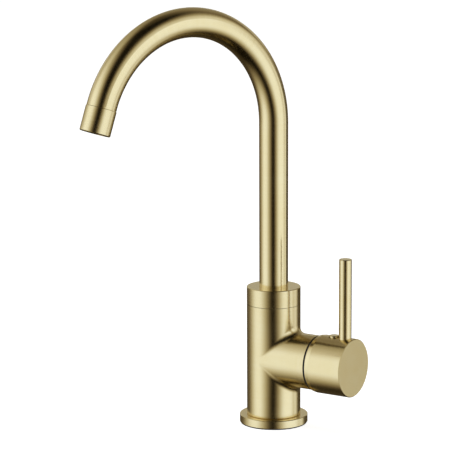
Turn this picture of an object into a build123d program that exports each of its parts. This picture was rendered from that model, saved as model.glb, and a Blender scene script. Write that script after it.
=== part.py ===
"""Single-lever basin mixer with a swivelling gooseneck spout and a side pin lever.

Millimetres, +Z up.  The origin is on the body axis at deck level.  The lever branch
points along +X, and the user stands on the -Y side.
"""
from math import cos, radians, sin, sqrt
import os

from build123d import *

os.makedirs("parts", exist_ok=True)

# ---------------------------------------------------------------- driving dimensions
# Base
GASKET_R = 25.3
GASKET_T = 0.8
FLANGE_R = 26.0
FLANGE_TOP = 6.9
FLANGE_EDGE = 0.35
BODY_EDGE = 0.5
FOOT_R = 18.0

# Body and lever branch
BODY_R = 20.5
BODY_TOP = 93.05
BRANCH_R = 20.8
BRANCH_Z = 51.5
BRANCH_END = 38.5
BRANCH_FILLET = 5.5
WALL_GAP = 0.05
SLIDE_GAP = 0.02
FINE_EDGE = 0.3

# Water ways
PORT_R = 4.5
PORT_DEPTH = 13.0
PORT_X = -4.0
PORT_Y = 9.6
STUD_R = 3.4
STUD_DEPTH = 15.0
CHANNEL_R = 3.4
INLET_LIFT = 5.0
OUTLET_LIFT = -6.5
OUTLET_R = 3.6

# Spout
COLLAR_BOTTOM = 93.35
COLLAR_TOP = 106.6
COLLAR_EDGE = 0.4
SPIGOT_R = 12.95
SPIGOT_BORE_R = 13.0
SPIGOT_BOTTOM = 75.0
SPIGOT_WATER_R = 9.0
GROOVE_R = 10.9
SEAL_HEIGHTS = (78.2, 90.0)
SEAL_SECTION_R = 1.03
SEAL_GROOVE_WIDTH = 2.4
RETAINING_Z = 84.0
RETAINING_GROOVE_WIDTH = 3.6
RETAINING_SCREW_R = 2.5
RETAINING_THREAD = 6.4
RETAINING_TIP_R = 1.4
RETAINING_LENGTH = 8.6
RETAINING_SINK = 0.6
HEX_KEY_R = 1.45
HEX_KEY_DEPTH = 2.6
GLIDE_R = 18.0
GLIDE_BORE_R = 13.4
GLIDE_SEAT = 1.2
GLIDE_STAND = 0.28
TUBE_R = 11.0
TUBE_BORE_R = 9.5
TUBE_FOOT = 96.6
ARC_Z = 232.6
ARC_R = 80.8
ARC_SWEEP = 161.1
SPOUT_TURN = -108.9
TUBE_TAIL = 1.2

# Aerator, measured along the outlet from the end of the tube's outer skin
HOUSING_R = 11.35
HOUSING_LENGTH = 18.7
HOUSING_EDGE = 0.5
THREAD_R = 10.4
THREAD_LENGTH = 5.8
WASHER_BORE_R = 8.4
WASHER_T = 1.45
INSERT_R = 10.0
INSERT_START = 7.4
INSERT_SEAT_R = 8.3
INSERT_BORE_R = 7.6
MESH_START = 9.05
MESH_T = 0.3
MESH_R = 8.2
MESH_HOLE_R = 0.6
MESH_PITCH = 1.8
MESH_ROWS = 4
GRILLE_START = 13.6
GRILLE_DEPTH = 4.4
GRILLE_RINGS = (8.5, 5.6, 2.9)
GRILLE_RING_WALL = 0.8
GRILLE_RIBS = 12
GRILLE_RIB_WALL = 0.7
LIP_START = 17.2
LIP_R = 8.9
LIP_FLARE = 0.8

# Cartridge, measured along the branch from the body axis
CHAMBER_START = 3.0
CHAMBER_R = 17.6
SEAL_WALL = 1.0
SEAL_T = 1.9
SEAL_SEAT_DEPTH = 1.4
BASE_START = 3.6
BASE_END = 8.0
FIXED_DISC_R = 15.6
FIXED_DISC_END = 12.0
MOVING_DISC_R = 12.8
MOVING_DISC_END = 15.9
LAPPED_GAP = 0.03
POCKET_R = 7.6
POCKET_UP = 1.5
POCKET_TAIL = 9.0
POCKET_WIDTH = 8.0
POCKET_DEPTH = 2.2
CARRIER_FLAT = 9.2
CARRIER_END = 26.6
CHEEK_START = 18.4
ROTOR_START = 27.0
ROTOR_R = 15.6
ROTOR_NECK_R = 11.5
ROTOR_END = 40.5
CASING_R = 17.5
CASING_BORE_R = 15.9
CASING_TOP = 30.0
SHOULDER_X = 31.5
NECK_R = 13.8
NECK_BORE_R = 11.9
NECK_END = 36.0
NUT_R = 19.2
NUT_END = 35.4
NUT_SLOTS = 6
NUT_SLOT_WIDTH = 4.0
NUT_SLOT_HEIGHT = 3.2
NUT_SLOT_DEPTH = 2.0

# Lever
PIVOT_X = 37.0
PIVOT_PIN_R = 1.5
TILT_MAX = 25.0
BALL_ARM = 12.5
BALL_R = 3.0
BALL_POCKET_R = 3.3
BALL_NECK_R = 2.0
BALL_NECK_END = 29.5
SHANK_ROOT_R = 2.8
SHANK_START = 33.0
SQUARE = 8.0
SPINDLE_EDGE = 0.6
SPINDLE_END = 58.0
SLOT_PLAY = 0.5
INNER_SLOT = (-4.7, 8.2)
OUTER_SLOT = (-6.7, 4.7)
GAP_RING_T = 1.25
DOME_BORE_R = 16.5
DOME_EDGE = 0.2
DOME_END = 42.0
RIM_X = 41.2
BEVEL_END = 44.0
BEVEL_DROP = 0.45
CAP_R = 22.2
CAP_END = 70.85
CAP_EDGE = 0.5
CAVITY_R = 21.2
CEILING_X = 51.0
BOSS_START = 47.0
BOSS_R = 8.5
SCREW_X = 53.8
SCREW_HOLE_R = 2.5
SCREW_LENGTH = 8.0
RECESS_R = 4.3
RECESS_FLOOR = 18.4
PLUG_FLANGE = 1.0
PLUG_SIDE_GAP = 0.5
PLUG_STAND = 1.2
PIN_X = 63.3
PIN_R = 4.8
PIN_SEAT = 21.6
PIN_TAIL_R = 3.0
PIN_TAIL = 11.0
PIN_TOP = 134.3
TIP_EDGE = 0.4

# ---------------------------------------------------------------- shared geometry
lever_axis = Axis((0, 0, BRANCH_Z), (1, 0, 0))
branch_section = Plane(origin=(0, 0, BRANCH_Z), x_dir=(1, 0, 0), z_dir=(0, -1, 0))
pivot_plane = Plane(origin=(PIVOT_X, 0, BRANCH_Z), x_dir=(1, 0, 0), z_dir=(0, -1, 0))
spout_dir = Vector(cos(radians(SPOUT_TURN)), sin(radians(SPOUT_TURN)), 0)
spout_plane = Plane(origin=(0, 0, 0), x_dir=spout_dir, z_dir=spout_dir.cross(Vector(0, 0, 1)))
disc_travel = BALL_ARM * sin(radians(TILT_MAX))
with BuildLine(spout_plane) as centre_line:
    Line((0, TUBE_FOOT + WALL_GAP), (0, ARC_Z))
    CenterArc((ARC_R, ARC_Z), ARC_R, 180, -ARC_SWEEP)
spout_path = centre_line.wire()
spout_end = spout_path @ 1 + (spout_path % 1) * TUBE_TAIL
outlet_section = Plane(origin=spout_end, x_dir=spout_path % 1, z_dir=spout_plane.z_dir)
outlet_plane = Plane(origin=spout_end, x_dir=spout_plane.z_dir, z_dir=spout_path % 1)


def save(piece, label):
    """Label a finished piece and write its file."""
    piece.part.label = label
    export_step(piece.part, f"parts/{label}.step")


def ring(plane, outer, inner, height):
    """Add a ring that stands on a plane, or a disc where there is no inner radius."""
    with BuildSketch(plane) as face:
        Circle(outer)
        if inner:
            Circle(inner, mode=Mode.SUBTRACT)
    extrude(face.sketch, amount=height)


def turned(*points):
    """Add a shape turned about the body axis from (radius, height) points."""
    with BuildSketch(Plane.XZ) as profile:
        Polygon(*points, align=None)
    revolve(profile.sketch, axis=Axis.Z)


def turned_on_branch(*points):
    """Add a shape turned about the branch axis from (distance, radius) points."""
    with BuildSketch(branch_section) as profile:
        Polygon(*points, align=None)
    revolve(profile.sketch, axis=lever_axis)


def turned_on_outlet(*points):
    """Add a shape turned about the outlet axis from (distance, radius) points."""
    with BuildSketch(outlet_section) as profile:
        Polygon(*points, align=None)
    revolve(profile.sketch, axis=Axis(spout_end, outlet_plane.z_dir))


def on_lever(distance, across=0.0, up=0.0):
    """A plane that faces along the branch, at a distance from the body axis."""
    centre = Vector(distance, across, BRANCH_Z + up)
    return Plane(origin=centre, x_dir=(0, 1, 0), z_dir=(1, 0, 0))


def bore(plane, radius, depth):
    """Cut a round hole downstream of a plane."""
    with BuildSketch(plane) as face:
        Circle(radius)
    extrude(face.sketch, amount=depth, mode=Mode.SUBTRACT)


def above(distance, height):
    """A plane that faces up, at a height over the branch axis."""
    return Plane.XY.move(Location((distance, 0, BRANCH_Z + height)))


def hex_socket(plane, depth):
    """Cut a hexagonal key socket into the end of a screw."""
    with BuildSketch(plane) as key:
        RegularPolygon(HEX_KEY_R, 6)
    extrude(key.sketch, amount=depth, mode=Mode.SUBTRACT)


def groove(height, width):
    """Cut a groove round the spigot, centred on a height."""
    with BuildSketch(Plane.XY.offset(height - width / 2)) as face:
        Circle(SPIGOT_R + 1)
        Circle(GROOVE_R, mode=Mode.SUBTRACT)
    extrude(face.sketch, amount=width, mode=Mode.SUBTRACT)


def spindle_slot(start, end, low, high):
    """Cut a stretch of the rotor's slot between two heights off the branch axis."""
    with BuildSketch(on_lever(start, 0, (low + high) / 2)) as face:
        Rectangle(SQUARE + SLOT_PLAY, high - low)
    extrude(face.sketch, amount=end - start, mode=Mode.SUBTRACT)


def cross_bore(radius, length):
    """Cut a hole along the tilt axis, centred on the branch."""
    with BuildSketch(pivot_plane.offset(-length / 2)) as face:
        Circle(radius)
    extrude(face.sketch, amount=length, mode=Mode.SUBTRACT)


# ---------------------------------------------------------------- base
with BuildPart() as base_gasket:
    ring(Plane.XY, GASKET_R, FOOT_R + WALL_GAP, GASKET_T)
save(base_gasket, "base_gasket")

with BuildPart() as base_flange:
    turned(
        (FOOT_R + WALL_GAP, GASKET_T),
        (FLANGE_R - FINE_EDGE, GASKET_T),
        (FLANGE_R, GASKET_T + FINE_EDGE),
        (FLANGE_R, FLANGE_TOP - FLANGE_EDGE),
        (FLANGE_R - FLANGE_EDGE, FLANGE_TOP),
        (FOOT_R + WALL_GAP, FLANGE_TOP),
    )
save(base_flange, "base_flange")

# ---------------------------------------------------------------- body casting
with BuildPart() as body_casting:
    turned(
        (0, FLANGE_TOP),
        (BODY_R - BODY_EDGE, FLANGE_TOP),
        (BODY_R, FLANGE_TOP + BODY_EDGE),
        (BODY_R, BODY_TOP),
        (0, BODY_TOP),
    )
    ring(on_lever(0), BRANCH_R, None, BRANCH_END)
    saddle = [edge for edge in body_casting.edges() if edge.geom_type not in (GeomType.CIRCLE, GeomType.LINE)]
    fillet(saddle, radius=BRANCH_FILLET)
    ring(Plane.XY, FOOT_R, None, FLANGE_TOP)
    # socket for the spout's spigot, with a seat for the glide ring
    bore(Plane.XY.offset(SPIGOT_BOTTOM - 1), SPIGOT_BORE_R, BODY_TOP)
    bore(Plane.XY.offset(BODY_TOP - GLIDE_SEAT), GLIDE_R + WALL_GAP, GLIDE_SEAT)
    # chamber for the cartridge, wider where the nut and the dome ring screw in
    bore(on_lever(CHAMBER_START), CHAMBER_R, BRANCH_END)
    bore(on_lever(SHOULDER_X), NUT_R + WALL_GAP, BRANCH_END)
    # hot and cold ports, each with a riser that turns into the chamber's back wall
    for side in (-1, 1):
        port = Plane.XY.move(Location((PORT_X, side * PORT_Y, 0)))
        bore(port, PORT_R, PORT_DEPTH)
        bore(port, CHANNEL_R, BRANCH_Z + INLET_LIFT)
        bore(on_lever(PORT_X, side * PORT_Y, INLET_LIFT), CHANNEL_R, CHAMBER_START - PORT_X + 1)
    # mixed water channel from the chamber's back wall up into the spigot socket
    bore(on_lever(PORT_X, 0, OUTLET_LIFT), OUTLET_R, CHAMBER_START - PORT_X + 1)
    riser = Plane.XY.move(Location((PORT_X, 0, BRANCH_Z + OUTLET_LIFT)))
    bore(riser, OUTLET_R, SPIGOT_BOTTOM - BRANCH_Z - OUTLET_LIFT)
    # central socket for the fixing stud
    bore(Plane.XY, STUD_R, STUD_DEPTH)
    # radial hole at the back for the screw that keeps the spout in
    back = Plane(origin=(0, BODY_R + 1, RETAINING_Z), x_dir=(1, 0, 0), z_dir=(0, -1, 0))
    bore(back, RETAINING_SCREW_R + WALL_GAP, BODY_R - SPIGOT_BORE_R + 2)
save(body_casting, "body_casting")

with BuildPart() as glide_ring:
    ring(Plane.XY.offset(BODY_TOP - GLIDE_SEAT), GLIDE_R, GLIDE_BORE_R, GLIDE_SEAT + GLIDE_STAND)
save(glide_ring, "glide_ring")

with BuildPart() as spout_retaining_screw:
    screw_head = Vector(0, BODY_R - RETAINING_SINK, RETAINING_Z)
    outer_end = Plane(origin=screw_head, x_dir=(1, 0, 0), z_dir=(0, -1, 0))
    ring(outer_end, RETAINING_SCREW_R, None, RETAINING_THREAD)
    ring(outer_end, RETAINING_TIP_R, None, RETAINING_LENGTH)
    hex_socket(outer_end, HEX_KEY_DEPTH)
save(spout_retaining_screw, "spout_retaining_screw")

# ---------------------------------------------------------------- spout
with BuildPart() as spout_collar:
    turned(
        (SPIGOT_WATER_R, SPIGOT_BOTTOM),
        (SPIGOT_R, SPIGOT_BOTTOM),
        (SPIGOT_R, COLLAR_BOTTOM),
        (BODY_R, COLLAR_BOTTOM),
        (BODY_R, COLLAR_TOP - COLLAR_EDGE),
        (BODY_R - COLLAR_EDGE, COLLAR_TOP),
        (TUBE_R + WALL_GAP, COLLAR_TOP),
        (TUBE_R + WALL_GAP, TUBE_FOOT),
        (SPIGOT_WATER_R, TUBE_FOOT),
    )
    for height in SEAL_HEIGHTS:
        groove(height, SEAL_GROOVE_WIDTH)
    groove(RETAINING_Z, RETAINING_GROOVE_WIDTH)
save(spout_collar, "spout_collar")

with BuildPart() as spigot_seals:
    for height in SEAL_HEIGHTS:
        with BuildSketch(Plane.XZ) as section:
            with Locations((SPIGOT_R - SEAL_SECTION_R + SLIDE_GAP, height)):
                Circle(SEAL_SECTION_R)
        revolve(section.sketch, axis=Axis.Z)
save(spigot_seals, "spigot_seals")

with BuildPart() as spout_tube:
    with BuildSketch(Plane.XY.offset(TUBE_FOOT + WALL_GAP)) as tube_section:
        Circle(TUBE_R)
        Circle(TUBE_BORE_R, mode=Mode.SUBTRACT)
    sweep(tube_section.sketch, path=spout_path)
    ring(outlet_plane.offset(-TUBE_TAIL), TUBE_R, TUBE_BORE_R, TUBE_TAIL)
    ring(outlet_plane, THREAD_R, TUBE_BORE_R, THREAD_LENGTH)
save(spout_tube, "spout_tube")

with BuildPart() as aerator_housing:
    turned_on_outlet(
        (WALL_GAP, THREAD_R + WALL_GAP),
        (WALL_GAP, HOUSING_R - FINE_EDGE),
        (WALL_GAP + FINE_EDGE, HOUSING_R),
        (HOUSING_LENGTH - HOUSING_EDGE, HOUSING_R),
        (HOUSING_LENGTH, HOUSING_R - HOUSING_EDGE),
        (HOUSING_LENGTH, LIP_R + LIP_FLARE),
        (HOUSING_LENGTH - LIP_FLARE, LIP_R),
        (LIP_START, LIP_R),
        (LIP_START, THREAD_R + WALL_GAP),
    )
save(aerator_housing, "aerator_housing")

with BuildPart() as aerator_washer:
    ring(outlet_plane.offset(THREAD_LENGTH + WALL_GAP), THREAD_R - 2 * WALL_GAP, WASHER_BORE_R, WASHER_T)
save(aerator_washer, "aerator_washer")

with BuildPart() as aerator_mesh:
    with BuildSketch(outlet_plane.offset(MESH_START)) as wire_disc:
        Circle(MESH_R)
        Circle(MESH_HOLE_R, mode=Mode.SUBTRACT)
        for row in range(1, MESH_ROWS + 1):
            with PolarLocations(MESH_PITCH * row, 6 * row):
                Circle(MESH_HOLE_R, mode=Mode.SUBTRACT)
    extrude(wire_disc.sketch, amount=MESH_T)
save(aerator_mesh, "aerator_mesh")

with BuildPart() as aerator_insert:
    mesh_seat = MESH_START + MESH_T + WALL_GAP
    ring(outlet_plane.offset(INSERT_START), INSERT_R, INSERT_SEAT_R, mesh_seat - INSERT_START)
    ring(outlet_plane.offset(mesh_seat), INSERT_R, INSERT_BORE_R, LIP_START - WALL_GAP - mesh_seat)
    with BuildSketch(outlet_plane.offset(GRILLE_START)) as grille:
        for radius in GRILLE_RINGS:
            Circle(radius)
            Circle(radius - GRILLE_RING_WALL, mode=Mode.SUBTRACT)
        rib_length = GRILLE_RINGS[0] - GRILLE_RINGS[-1] + GRILLE_RING_WALL
        with PolarLocations(GRILLE_RINGS[0] - rib_length / 2, GRILLE_RIBS):
            Rectangle(rib_length, GRILLE_RIB_WALL)
    extrude(grille.sketch, amount=GRILLE_DEPTH)
save(aerator_insert, "aerator_insert")

# ---------------------------------------------------------------- cartridge
water_holes = (
    (-PORT_Y, INLET_LIFT, CHANNEL_R),
    (PORT_Y, INLET_LIFT, CHANNEL_R),
    (0, OUTLET_LIFT, OUTLET_R),
)

with BuildPart() as cartridge_seals:
    for across, up, radius in water_holes:
        inner = radius + 2 * WALL_GAP
        ring(on_lever(CHAMBER_START + WALL_GAP, across, up), inner + SEAL_WALL, inner, SEAL_T)
save(cartridge_seals, "cartridge_seals")

with BuildPart() as cartridge_base:
    ring(on_lever(BASE_START), CASING_R - FINE_EDGE, None, BASE_END - BASE_START)
    for across, up, radius in water_holes:
        bore(on_lever(BASE_START, across, up), radius, BASE_END)
        bore(on_lever(BASE_START, across, up), radius + SEAL_WALL + 3 * WALL_GAP, SEAL_SEAT_DEPTH)
save(cartridge_base, "cartridge_base")

with BuildPart() as fixed_disc:
    ring(on_lever(BASE_END + WALL_GAP), FIXED_DISC_R, None, FIXED_DISC_END - BASE_END - WALL_GAP)
    for across, up, radius in water_holes:
        bore(on_lever(BASE_END, across, up), radius - 2 * WALL_GAP, FIXED_DISC_END)
save(fixed_disc, "fixed_disc")

with BuildPart() as moving_disc:
    disc_face = on_lever(FIXED_DISC_END + LAPPED_GAP, 0, -disc_travel / 2)
    ring(disc_face, MOVING_DISC_R, None, MOVING_DISC_END - FIXED_DISC_END - LAPPED_GAP)
    with BuildSketch(disc_face) as mixing_pocket:
        with Locations((0, POCKET_UP)):
            Circle(POCKET_R)
        with Locations((0, -POCKET_TAIL / 2)):
            Rectangle(POCKET_WIDTH, POCKET_TAIL)
    extrude(mixing_pocket.sketch, amount=POCKET_DEPTH, mode=Mode.SUBTRACT)
save(moving_disc, "moving_disc")

with BuildPart() as disc_carrier:
    with BuildSketch(on_lever(MOVING_DISC_END + WALL_GAP, 0, -disc_travel / 2)) as plate:
        Circle(MOVING_DISC_R)
        Rectangle(2 * CARRIER_FLAT, 2 * MOVING_DISC_R, mode=Mode.INTERSECT)
    extrude(plate.sketch, amount=CARRIER_END - MOVING_DISC_END - WALL_GAP)
    bore(on_lever(PIVOT_X - BALL_ARM - BALL_R - SLOT_PLAY), BALL_POCKET_R, CARRIER_END)
save(disc_carrier, "disc_carrier")

with BuildPart() as cartridge_casing:
    turned_on_branch(
        (BASE_END + WALL_GAP, CASING_BORE_R),
        (BASE_END + WALL_GAP, CASING_R),
        (SHOULDER_X, CASING_R),
        (SHOULDER_X, NECK_R),
        (NECK_END, NECK_R),
        (NECK_END, NECK_BORE_R),
        (CASING_TOP, NECK_BORE_R),
        (CASING_TOP, CASING_BORE_R),
    )
save(cartridge_casing, "cartridge_casing")

with BuildPart() as cartridge_nut:
    ring(on_lever(SHOULDER_X + WALL_GAP), NUT_R, NECK_R + FINE_EDGE, NUT_END - SHOULDER_X - WALL_GAP)
    with BuildSketch(on_lever(NUT_END)) as key_slots:
        with PolarLocations((NUT_R + NECK_R) / 2, NUT_SLOTS):
            Rectangle(NUT_SLOT_HEIGHT, NUT_SLOT_WIDTH)
    extrude(key_slots.sketch, amount=-NUT_SLOT_DEPTH, mode=Mode.SUBTRACT)
save(cartridge_nut, "cartridge_nut")

with BuildPart() as rotor:
    with BuildSketch(on_lever(CHEEK_START)) as cheeks:
        Circle(ROTOR_R)
        Rectangle(2 * (CARRIER_FLAT + FINE_EDGE), 2 * ROTOR_R, mode=Mode.SUBTRACT)
    extrude(cheeks.sketch, amount=ROTOR_START - CHEEK_START)
    ring(on_lever(ROTOR_START), ROTOR_R, None, CASING_TOP - FINE_EDGE - ROTOR_START)
    ring(on_lever(ROTOR_START), ROTOR_NECK_R, None, ROTOR_END - ROTOR_START)
    # slot that lets the spindle tilt: inner end up, outer end down
    spindle_slot(ROTOR_START, PIVOT_X, *INNER_SLOT)
    spindle_slot(PIVOT_X, ROTOR_END, *OUTER_SLOT)
    cross_bore(PIVOT_PIN_R + SLIDE_GAP, 2 * ROTOR_R)
save(rotor, "rotor")

with BuildPart() as pivot_pin:
    half_length = ROTOR_NECK_R - 2 * FINE_EDGE
    ring(pivot_plane.offset(-half_length), PIVOT_PIN_R, None, 2 * half_length)
save(pivot_pin, "pivot_pin")

# ---------------------------------------------------------------- lever
with BuildPart() as spindle:
    with BuildSketch(on_lever(SHANK_START)) as shank:
        Rectangle(SQUARE, SQUARE)
    extrude(shank.sketch, amount=SPINDLE_END - SHANK_START)
    chamfer(spindle.faces().sort_by(Axis.X)[-1].edges(), length=SPINDLE_EDGE)
    ring(on_lever(PIVOT_X - BALL_ARM), BALL_NECK_R, None, SHANK_START - PIVOT_X + BALL_ARM)
    ring(on_lever(BALL_NECK_END), SHANK_ROOT_R, None, SHANK_START - BALL_NECK_END + 1)
    with Locations((PIVOT_X - BALL_ARM, 0, BRANCH_Z)):
        Sphere(BALL_R)
    cross_bore(PIVOT_PIN_R + WALL_GAP, 2 * SQUARE)
save(spindle, "spindle")

with BuildPart() as gap_ring:
    ring(on_lever(BRANCH_END + WALL_GAP), BRANCH_R - 2 * FINE_EDGE, NUT_R + WALL_GAP, GAP_RING_T)
save(gap_ring, "gap_ring")

with BuildPart() as dome_ring:
    ring_face = BRANCH_END + GAP_RING_T + 2 * WALL_GAP
    turned_on_branch(
        (NUT_END + 2 * WALL_GAP, DOME_BORE_R),
        (NUT_END + 2 * WALL_GAP, NUT_R),
        (ring_face, NUT_R),
        (ring_face, BRANCH_R - DOME_EDGE),
        (ring_face + DOME_EDGE, BRANCH_R),
        (DOME_END - 2 * FINE_EDGE, BRANCH_R),
        (DOME_END, BRANCH_R - 2 * FINE_EDGE),
        (DOME_END, DOME_BORE_R),
    )
save(dome_ring, "dome_ring")

with BuildPart() as handle_cap:
    clear_r = sqrt((RIM_X + 1 - PIVOT_X) ** 2 + CAVITY_R**2)
    ceiling_r = sqrt(clear_r**2 - (CEILING_X - PIVOT_X) ** 2)
    with BuildSketch(branch_section) as cap_section:
        with BuildLine():
            Polyline(
                (CEILING_X, ceiling_r),
                (CEILING_X, 0),
                (CAP_END, 0),
                (CAP_END, CAP_R - CAP_EDGE),
                (CAP_END - CAP_EDGE, CAP_R),
                (BEVEL_END, CAP_R),
                (RIM_X, CAP_R - BEVEL_DROP),
                (RIM_X, CAVITY_R + 0.2),
                (RIM_X + 1, CAVITY_R),
            )
            RadiusArc((RIM_X + 1, CAVITY_R), (CEILING_X, ceiling_r), clear_r)
        make_face()
    revolve(cap_section.sketch, axis=lever_axis)
    ring(on_lever(BOSS_START), BOSS_R, None, CEILING_X - BOSS_START + 1)
    with BuildSketch(on_lever(BOSS_START)) as socket:
        Rectangle(SQUARE + 2 * WALL_GAP, SQUARE + 2 * WALL_GAP)
    extrude(socket.sketch, amount=SPINDLE_END - BOSS_START + FINE_EDGE, mode=Mode.SUBTRACT)
    bore(above(SCREW_X, RECESS_FLOOR), RECESS_R, CAP_R)
    bore(above(SCREW_X, 0), SCREW_HOLE_R, CAP_R)
    bore(above(PIN_X, PIN_SEAT), PIN_R + WALL_GAP, CAP_R)
    bore(above(PIN_X, PIN_SEAT - PIN_TAIL - 1), PIN_TAIL_R, CAP_R)
save(handle_cap, "handle_cap")

with BuildPart() as lever_grub_screw:
    screw_top = SQUARE / 2 + SLIDE_GAP + SCREW_LENGTH
    ring(above(SCREW_X, screw_top - SCREW_LENGTH), SCREW_HOLE_R - WALL_GAP, None, SCREW_LENGTH)
    hex_socket(above(SCREW_X, screw_top), -HEX_KEY_DEPTH)
save(lever_grub_screw, "lever_grub_screw")

with BuildPart() as screw_plug:
    ring(above(SCREW_X, RECESS_FLOOR - 2), SCREW_HOLE_R - 2 * WALL_GAP, None, 3)
    ring(above(SCREW_X, RECESS_FLOOR + WALL_GAP), RECESS_R - WALL_GAP, None, PLUG_FLANGE)
    ring(above(SCREW_X, RECESS_FLOOR), RECESS_R - PLUG_SIDE_GAP, None, CAP_R + PLUG_STAND - RECESS_FLOOR)
    chamfer(screw_plug.edges().group_by(Axis.Z)[-1], length=TIP_EDGE)
save(screw_plug, "screw_plug")

with BuildPart() as lever_pin:
    ring(above(PIN_X, PIN_SEAT - PIN_TAIL), PIN_TAIL_R - WALL_GAP, None, PIN_TAIL + 1)
    ring(above(PIN_X, PIN_SEAT + SLIDE_GAP), PIN_R, None, PIN_TOP - BRANCH_Z - PIN_SEAT - SLIDE_GAP)
    chamfer(lever_pin.edges().group_by(Axis.Z)[-1], length=TIP_EDGE)
save(lever_pin, "lever_pin")
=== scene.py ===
"""Looks of the gooseneck basin mixer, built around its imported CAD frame.  Metres."""

from math import cos, pi, radians, sin

import bpy
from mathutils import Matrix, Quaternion, Vector


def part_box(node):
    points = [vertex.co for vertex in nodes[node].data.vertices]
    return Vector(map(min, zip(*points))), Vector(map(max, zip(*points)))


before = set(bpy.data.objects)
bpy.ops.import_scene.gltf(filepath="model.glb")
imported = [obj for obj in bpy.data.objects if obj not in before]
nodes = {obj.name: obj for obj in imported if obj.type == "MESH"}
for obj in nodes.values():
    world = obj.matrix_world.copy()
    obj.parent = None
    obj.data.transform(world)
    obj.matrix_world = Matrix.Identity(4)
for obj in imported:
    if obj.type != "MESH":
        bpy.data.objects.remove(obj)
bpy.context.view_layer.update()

# ---------------------------------------------------------------- camera
LENS_MM = 201.6
SENSOR_MM = 36.0
CAMERA_AT = Vector((0.9993, -1.5865, 0.5165))
CAMERA_LOOK = Vector((-0.5395, 0.8203, -0.1899))
CAMERA_ROLL = radians(-0.24)

# ---------------------------------------------------------------- the spout's centre line
SPOUT_TURN = radians(-108.9)
TUBE_R = 0.011
ARC_R = 0.0808
ARC_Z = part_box("spout_tube")[1].z - TUBE_R - ARC_R


def add_camera():
    data = bpy.data.cameras.new("camera")
    data.lens = LENS_MM
    data.sensor_width = SENSOR_MM
    camera = bpy.data.objects.new("camera", data)
    camera.location = CAMERA_AT
    camera.rotation_mode = "QUATERNION"
    level = CAMERA_LOOK.to_track_quat("-Z", "Y")
    camera.rotation_quaternion = level @ Quaternion((0, 0, 1), CAMERA_ROLL)
    bpy.context.scene.collection.objects.link(camera)
    bpy.context.scene.camera = camera


# ---------------------------------------------------------------- node helpers
class Tree:
    """A small builder for a node tree, of a material or of the world."""

    def __init__(self, tree):
        self.tree = tree

    def add(self, kind, inputs=None, **settings):
        node = self.tree.nodes.new(kind)
        for key, value in settings.items():
            setattr(node, key, value)
        for key, value in (inputs or {}).items():
            self.feed(node.inputs[key], value)
        return node

    def feed(self, socket, value):
        if isinstance(value, bpy.types.NodeSocket):
            self.tree.links.new(value, socket)
        else:
            socket.default_value = value

    def math(self, operation, a, b=0.0, c=0.0):
        node = self.add("ShaderNodeMath", operation=operation)
        for socket, value in zip(node.inputs, (a, b, c)):
            self.feed(socket, value)
        return node.outputs[0]

    def place(self, x, y, z):
        return self.add("ShaderNodeCombineXYZ", {"X": x, "Y": y, "Z": z}).outputs[0]

    def noise(self, vector, scale, detail=4.0, roughness=0.55):
        inputs = {"Vector": vector, "Scale": scale, "Detail": detail, "Roughness": roughness}
        return self.add("ShaderNodeTexNoise", inputs).outputs["Fac"]

    def span(self, value, low, high, out_low, out_high, kind="LINEAR"):
        inputs = {"Value": value, "From Min": low, "From Max": high, "To Min": out_low, "To Max": out_high}
        return self.add("ShaderNodeMapRange", inputs, interpolation_type=kind).outputs["Result"]

    def fall(self, value, half, fade):
        """1 near zero, falling smoothly through a half at a distance, over a share of it each way."""
        return self.span(value, half * (1 - fade), half * (1 + fade), 1.0, 0.0, "SMOOTHSTEP")

    def blend(self, factor, a, b, mode="MIX"):
        node = self.add("ShaderNodeMix", data_type="RGBA", blend_type=mode)
        self.feed(node.inputs["Factor"], factor)
        self.feed(node.inputs[6], a)
        self.feed(node.inputs[7], b)
        return node.outputs[2]


class Shader(Tree):
    """One material, with its Principled shader's sockets to hand."""

    def __init__(self, name, **sockets):
        self.material = bpy.data.materials.new(name)
        self.material.use_nodes = True
        super().__init__(self.material.node_tree)
        self.bsdf = self.tree.nodes["Principled BSDF"]
        for key, value in sockets.items():
            self.bsdf.inputs[key.replace("_", " ")].default_value = value
        at = self.add("ShaderNodeTexCoord").outputs["Object"]
        self.at = at
        self.x, self.y, self.z = self.add("ShaderNodeSeparateXYZ", {"Vector": at}).outputs

    def connect(self, **sockets):
        for key, value in sockets.items():
            self.feed(self.bsdf.inputs[key.replace("_", " ")], value)

    def bump(self, height, distance, strength=1.0):
        inputs = {"Height": height, "Distance": distance, "Strength": strength}
        self.connect(Normal=self.add("ShaderNodeBump", inputs).outputs["Normal"])


def paint(names, material):
    for name in names:
        piece = nodes[name]
        piece.data.materials.clear()
        piece.data.materials.append(material)


# ---------------------------------------------------------------- brushed brass
BRASS = (0.80, 0.68, 0.385, 1.0)
BRASS_DEEP = (0.75, 0.61, 0.31, 1.0)
LINE_PITCH = 0.00016
LINE_STRETCH = 60.0
BRUSH_RELIEF = 0.0000009
TARNISH_SCALE = 45.0
SATIN = 0.16
SATIN_UPRIGHT = 0.18
ROUGHNESS_SPREAD = 0.08
# the body's level lines turn to rings round the branch between these two distances from its axis
BRANCH_LINES_X = (0.018, 0.026)


def brush_lines(s, along, across_a, across_b):
    """Grey noise in long fine lines: fine steps along one coordinate, long ones across the other two."""
    long = 1 / LINE_STRETCH
    stretched = s.place(s.math("MULTIPLY", across_a, long), s.math("MULTIPLY", across_b, long), along)
    fine = s.noise(stretched, 1 / LINE_PITCH, detail=3.0, roughness=0.7)
    broad = s.noise(stretched, 0.12 / LINE_PITCH, detail=2.0)
    return s.math("ADD", s.math("MULTIPLY", fine, 0.6), s.math("MULTIPLY", broad, 0.4))


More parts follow.
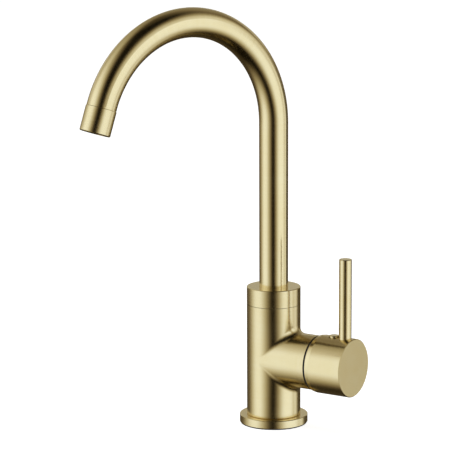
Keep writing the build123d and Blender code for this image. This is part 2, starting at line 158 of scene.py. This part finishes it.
def finish_brass(s, lines, smooth=SATIN):
    """Brushed brass from its line noise: colour, roughness and relief."""
    cloud = s.noise(s.at, TARNISH_SCALE, detail=3.0)
    shade = s.math("ADD", s.math("MULTIPLY", lines, 0.55), s.math("MULTIPLY", cloud, 0.45))
    colour = s.blend(s.span(shade, 0.35, 0.65, 0.0, 1.0), BRASS_DEEP, BRASS)
    rough = s.span(shade, 0.3, 0.7, smooth, smooth + ROUGHNESS_SPREAD)
    s.connect(Base_Color=colour, Roughness=rough)
    s.bump(lines, BRUSH_RELIEF)
    return s.material


def brass_shader(name):
    return Shader(name, Metallic=1.0)


def brass_upright():
    """Turned about an upright axis, so the lines run level."""
    s = brass_shader("brushed_brass_upright")
    return finish_brass(s, brush_lines(s, s.z, s.x, s.y), smooth=SATIN_UPRIGHT)


def brass_branch():
    """Turned about the lever branch."""
    s = brass_shader("brushed_brass_branch")
    return finish_brass(s, brush_lines(s, s.x, s.y, s.z))


def brass_casting():
    """Level lines on the body that turn to rings round the branch."""
    s = brass_shader("brushed_brass_casting")
    on_branch = s.span(s.x, *BRANCH_LINES_X, 0.0, 1.0)
    level = brush_lines(s, s.z, s.x, s.y)
    round_branch = brush_lines(s, s.x, s.y, s.z)
    lines = s.add("ShaderNodeMix", {"Factor": on_branch, 2: level, 3: round_branch}).outputs[0]
    return finish_brass(s, lines, smooth=SATIN_UPRIGHT)


def brass_spout():
    """Lines round the tube: the coordinate along it is its height, then the angle round the arch."""
    s = brass_shader("brushed_brass_spout")
    reach_x = s.math("MULTIPLY", s.x, cos(SPOUT_TURN))
    reach_y = s.math("MULTIPLY", s.y, sin(SPOUT_TURN))
    reach = s.math("ADD", reach_x, reach_y)
    side_x = s.math("MULTIPLY", s.x, sin(SPOUT_TURN))
    side_y = s.math("MULTIPLY", s.y, cos(SPOUT_TURN))
    side = s.math("SUBTRACT", side_y, side_x)
    rise = s.math("SUBTRACT", s.z, ARC_Z)
    inward = s.math("SUBTRACT", ARC_R, reach)
    bend = s.math("MULTIPLY", s.math("ARCTAN2", rise, inward), ARC_R)
    straight = s.math("MULTIPLY", s.math("LESS_THAN", rise, 0.0), s.math("GREATER_THAN", inward, 0.0))
    along = s.add("ShaderNodeMix", {"Factor": straight, 2: bend, 3: rise}).outputs[0]
    return finish_brass(s, brush_lines(s, along, side, inward))


def assign_brass():
    paint(("base_flange", "spout_collar", "lever_pin", "screw_plug"), brass_upright())
    paint(("dome_ring", "handle_cap"), brass_branch())
    paint(("body_casting",), brass_casting())
    paint(("spout_tube", "aerator_housing"), brass_spout())


# ---------------------------------------------------------------- the pieces inside and the seals
MACHINED_RELIEF = 0.000003
STEEL_RELIEF = 0.000002
STEEL_MARKS_SCALE = 4000.0
STEEL_MARKS_STRETCH = 0.3
DRIFT_SCALE = 120.0
# name: colour, colour where it drifts, roughness, grain scale, grain relief, pieces
MOULDED = {
    "black_rubber": (
        (0.012, 0.012, 0.012, 1), (0.028, 0.027, 0.026, 1), 0.6, 2500.0, 0.000006,
        ("base_gasket", "spigot_seals", "cartridge_seals", "aerator_washer"),
    ),
    # the gap ring is coloured near-black as painted shade, standing in for the dark gap between the branch
    # and the handle cap
    "black_plastic": (
        (0.010, 0.009, 0.008, 1), (0.018, 0.017, 0.016, 1), 0.5, 3500.0, 0.000003,
        ("gap_ring",),
    ),
    "white_plastic": (
        (0.80, 0.79, 0.75, 1), (0.86, 0.86, 0.83, 1), 0.36, 3000.0, 0.000003,
        ("cartridge_base", "cartridge_casing", "glide_ring"),
    ),
    "blue_plastic": (
        (0.08, 0.19, 0.42, 1), (0.12, 0.25, 0.50, 1), 0.36, 3000.0, 0.000003,
        ("rotor", "disc_carrier"),
    ),
    "grey_plastic": (
        (0.20, 0.20, 0.20, 1), (0.27, 0.27, 0.27, 1), 0.38, 3000.0, 0.000003,
        ("aerator_insert",),
    ),
    "ceramic": (
        (0.86, 0.85, 0.81, 1), (0.92, 0.91, 0.88, 1), 0.12, 6000.0, 0.000001,
        ("fixed_disc", "moving_disc"),
    ),
}


def machined_brass():
    """Bare yellow brass straight from the lathe, with fine turned rings."""
    s = Shader("machined_brass", Metallic=1.0)
    rings = brush_lines(s, s.x, s.y, s.z)
    tone = s.span(rings, 0.35, 0.65, 0.0, 1.0)
    s.connect(Base_Color=s.blend(tone, (0.74, 0.53, 0.22, 1), (0.82, 0.62, 0.30, 1)))
    s.connect(Roughness=s.span(rings, 0.3, 0.7, 0.22, 0.34))
    s.bump(rings, MACHINED_RELIEF)
    return s.material


def steel():
    """Stainless steel with short machining marks."""
    s = Shader("steel", Metallic=1.0)
    stretched = s.place(s.math("MULTIPLY", s.x, STEEL_MARKS_STRETCH), s.y, s.z)
    marks = s.noise(stretched, STEEL_MARKS_SCALE, detail=3.0)
    s.connect(Base_Color=s.blend(marks, (0.52, 0.52, 0.53, 1), (0.66, 0.66, 0.65, 1)))
    s.connect(Roughness=s.span(marks, 0.3, 0.7, 0.24, 0.36))
    s.bump(marks, STEEL_RELIEF)
    return s.material


def moulded(name, colour, drifted, rough, grain, relief):
    """Moulded plastic, rubber or ceramic, and the near-black painted shade of the gap ring: a fine grain
    and a slow drift of colour.
    """
    s = Shader(name)
    drift = s.noise(s.at, DRIFT_SCALE, detail=3.0)
    fine = s.noise(s.at, grain, detail=3.0)
    s.connect(Base_Color=s.blend(s.span(drift, 0.35, 0.65, 0.0, 1.0), colour, drifted))
    s.connect(Roughness=s.span(fine, 0.3, 0.7, rough, rough + 0.1))
    s.bump(fine, relief)
    return s.material


def assign_insides():
    paint(("cartridge_nut",), machined_brass())
    paint(("spindle", "pivot_pin", "lever_grub_screw", "spout_retaining_screw", "aerator_mesh"), steel())
    for name, (colour, drifted, rough, grain, relief, pieces) in MOULDED.items():
        paint(pieces, moulded(name, colour, drifted, rough, grain, relief))


assign_brass()
assign_insides()


# ---------------------------------------------------------------- stage and light
VIEW_AZIMUTH = radians(-56.6)
# soft banks of light, angles in degrees: turn from the viewer's side, lean with height above the horizon,
# half width, softness of the sides, tilt above the horizon, half height, softness of the ends, strength
BANKS = (
    (-72.0, -0.10, 34.5, 0.9, 3.0, 48.0, 0.65, 1.09),
    (-120.0, 0.0, 27.0, 0.9, 30.0, 36.0, 0.45, 0.33),
    (61.0, 0.33, 37.5, 0.68, -1.0, 42.0, 0.6, 1.1),
    (110.0, 0.0, 11.0, 0.6, -8.0, 28.0, 0.8, 0.60),
    (180.0, 0.0, 56.0, 0.45, 14.0, 70.0, 0.6, 0.07),
    (180.0, 0.0, 48.0, 0.5, 26.0, 28.0, 0.6, 0.20),
    (180.0, 0.0, 50.0, 0.5, 13.0, 6.0, 0.6, 0.30),
)
AMBIENT = 0.006
FULL_LIGHT = (1.0, 1.09, 1.27, 1)
# the light is cool at full strength and warmer where it falls off: level, green and blue as shares of it
WARM_FALL = (
    (0.05, 0.78, 0.45),
    (0.2, 0.82, 0.56),
    (0.45, 0.94, 0.72),
    (0.65, 0.99, 0.92),
    (0.85, 1.03, 1.08),
)

FLOOR_HALF = 6.0
FLOOR_GLOW = 0.85
PANEL_SIZE = 1.6
PANEL_WATTS = 26.0
PANEL_HEIGHT = 2.0


def add_world():
    """A studio of soft banks of light with dark gaps between them, white where the camera sees it."""
    world = bpy.data.worlds.new("studio")
    bpy.context.scene.world = world
    world.use_nodes = True
    s = Tree(world.node_tree)
    toward = s.add("ShaderNodeTexCoord").outputs["Generated"]
    x, y, z = s.add("ShaderNodeSeparateXYZ", {"Vector": toward}).outputs
    azimuth = s.math("ARCTAN2", y, x)
    height = s.math("ARCSINE", z)
    total = None
    above = s.math("MAXIMUM", height, 0.0)
    for turn, lean, half_width, side_fade, tilt, half_height, end_fade, strength in BANKS:
        centre = s.math("MULTIPLY_ADD", above, lean, VIEW_AZIMUTH + radians(turn))
        aside = s.math("WRAP", s.math("SUBTRACT", azimuth, centre), pi, -pi)
        lift = s.math("SUBTRACT", height, radians(tilt))
        across = s.fall(s.math("ABSOLUTE", aside), radians(half_width), side_fade)
        upright = s.fall(s.math("ABSOLUTE", lift), radians(half_height), end_fade)
        bank = s.math("MULTIPLY", s.math("MULTIPLY", across, upright), strength)
        total = bank if total is None else s.math("ADD", total, bank)
    total = s.math("ADD", total, AMBIENT)
    warm = s.add("ShaderNodeValToRGB", {"Fac": total})
    ramp = warm.color_ramp
    ramp.elements[0].color = (0.0, 0.0, 0.0, 1)
    ramp.elements[1].color = FULL_LIGHT
    for level, green, blue in WARM_FALL:
        ramp.elements.new(level).color = (level, level * green, level * blue, 1)
    over = s.math("MAXIMUM", total, 1.0)
    seen = s.add("ShaderNodeLightPath").outputs["Is Camera Ray"]
    sky = world.node_tree.nodes["Background"]
    s.feed(sky.inputs["Color"], s.blend(seen, warm.outputs["Color"], (1.0, 1.0, 1.0, 1.0)))
    s.feed(sky.inputs["Strength"], s.add("ShaderNodeMix", {"Factor": seen, 2: over, 3: 1.0}).outputs[0])


def add_floor():
    """A white surface that the metal doesn't mirror."""
    far = FLOOR_HALF
    mesh = bpy.data.meshes.new("floor")
    mesh.from_pydata([(-far, -far, 0), (far, -far, 0), (far, far, 0), (-far, far, 0)], [], [(0, 1, 2, 3)])
    floor = bpy.data.objects.new("floor", mesh)
    bpy.context.scene.collection.objects.link(floor)
    s = Shader("floor", Base_Color=(0.5, 0.5, 0.5, 1), Roughness=0.9, Emission_Color=(1, 1, 1, 1))
    s.bsdf.inputs["Emission Strength"].default_value = FLOOR_GLOW
    mesh.materials.append(s.material)
    floor.visible_glossy = False


def add_top_light():
    """An overhead panel that lights the floor and leaves no glint on the metal."""
    data = bpy.data.lights.new("top_panel", "AREA")
    data.shape = "SQUARE"
    data.size = PANEL_SIZE
    data.energy = PANEL_WATTS
    light = bpy.data.objects.new("top_panel", data)
    light.location = (0.0, 0.0, PANEL_HEIGHT)
    light.visible_glossy = False
    bpy.context.scene.collection.objects.link(light)


add_world()
add_floor()
add_top_light()
add_camera()
bpy.context.scene.view_settings.view_transform = "Standard"
